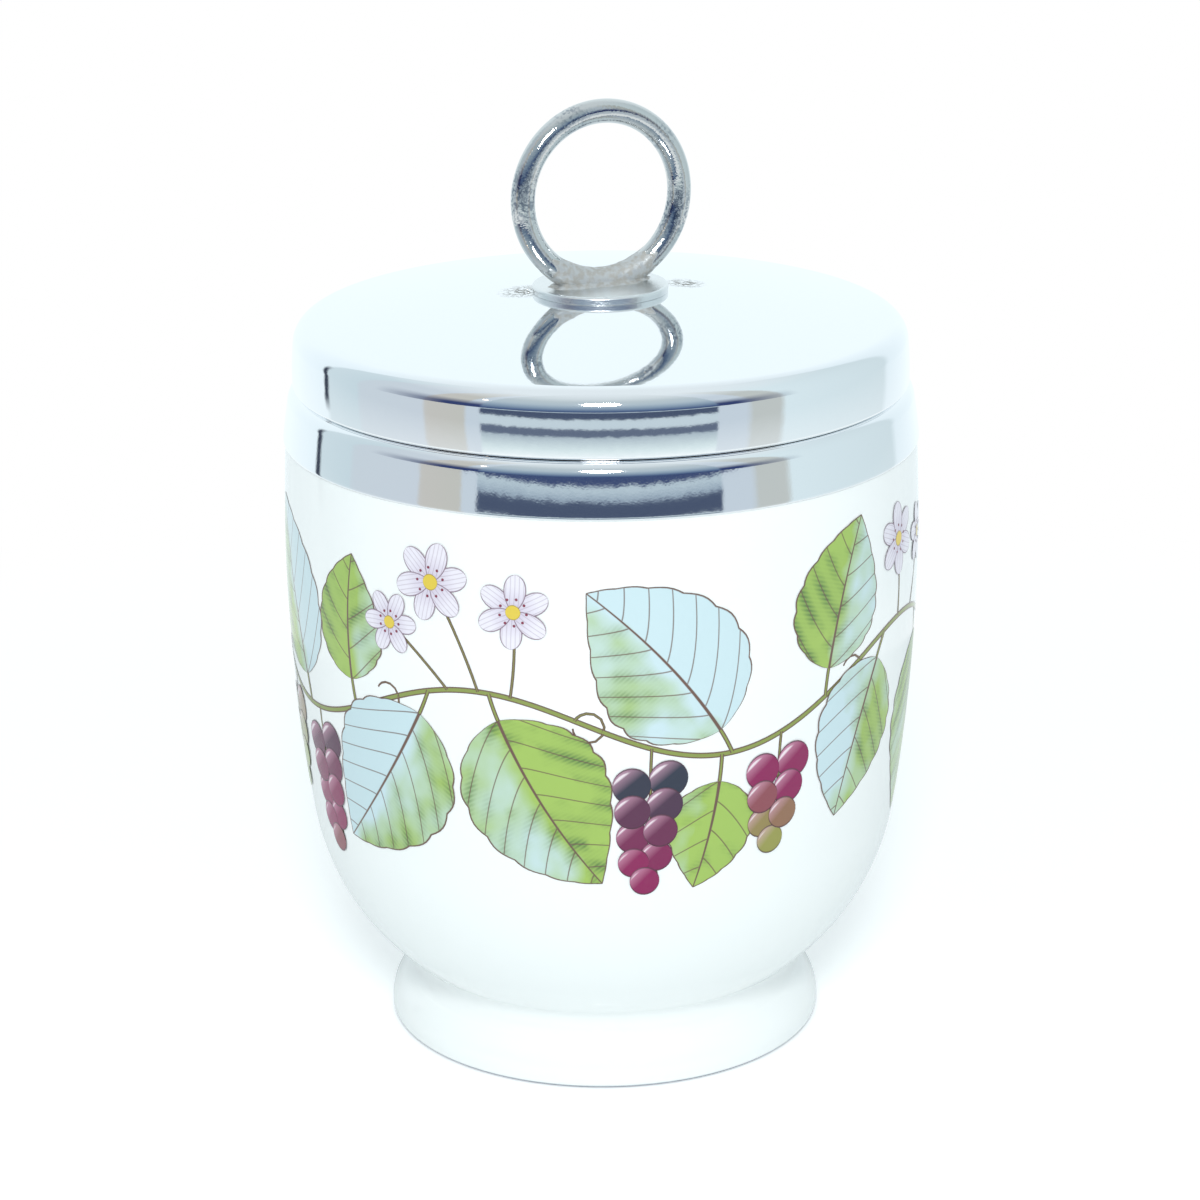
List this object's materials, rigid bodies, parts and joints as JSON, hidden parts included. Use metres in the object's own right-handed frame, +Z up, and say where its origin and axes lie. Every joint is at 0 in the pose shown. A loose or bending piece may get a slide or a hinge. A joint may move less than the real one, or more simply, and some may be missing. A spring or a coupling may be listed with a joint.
{
  "type": "egg coddler",
  "caption": "Footed, round-bellied porcelain egg coddler with a plated screw collar and a shallow domed screw lid that carries an upright wire lift ring.",
  "frame": {"origin": "centre of the foot's resting face", "axes": "+Z up along the turning axis; the lift ring stands in the XZ plane, so +Y looks through it"},
  "size_m": [0.0594, 0.0594, 0.0885],
  "materials": {
    "porcelain": "gloss glaze, white, with a fired-on fruiting vine print",
    "plated_metal": "bright nickel or chromium plate on brass",
    "liner_metal": "plain pressed sheet",
    "cement": "matte hard plaster cement",
    "seal_rubber": "matte moulded rubber"
  },
  "bodies": {
    "cup": {"porcelain_cup": "porcelain", "screw_collar": "plated_metal", "collar_cement": "cement"},
    "seal": {"sealing_washer": "seal_rubber"},
    "seat": {"ring_seat": "plated_metal"},
    "lid": {"lid_cap": "plated_metal", "lid_liner": "liner_metal", "seat_washer": "liner_metal", "lift_ring": "plated_metal"}
  },
  "joints": [
    {"name": "lid_lift", "type": "slide", "parent": "cup", "child": "seal", "axis": [0, 0, 1], "range_m": [0, 0.06]},
    {"name": "lid_rise", "type": "slide", "parent": "seal", "child": "seat", "axis": [0, 0, 1], "range_m": [0, 0.0015]},
    {"name": "lid_turn", "type": "hinge", "parent": "seat", "child": "lid", "pos_m": [0, 0, 0], "axis": [0, 0, 1], "range_deg": [0, 270]}
  ],
  "couplings": [
    {"joint": "lid_rise", "follows": "lid_turn", "m_per_rad": 0.00031831}
  ]
}
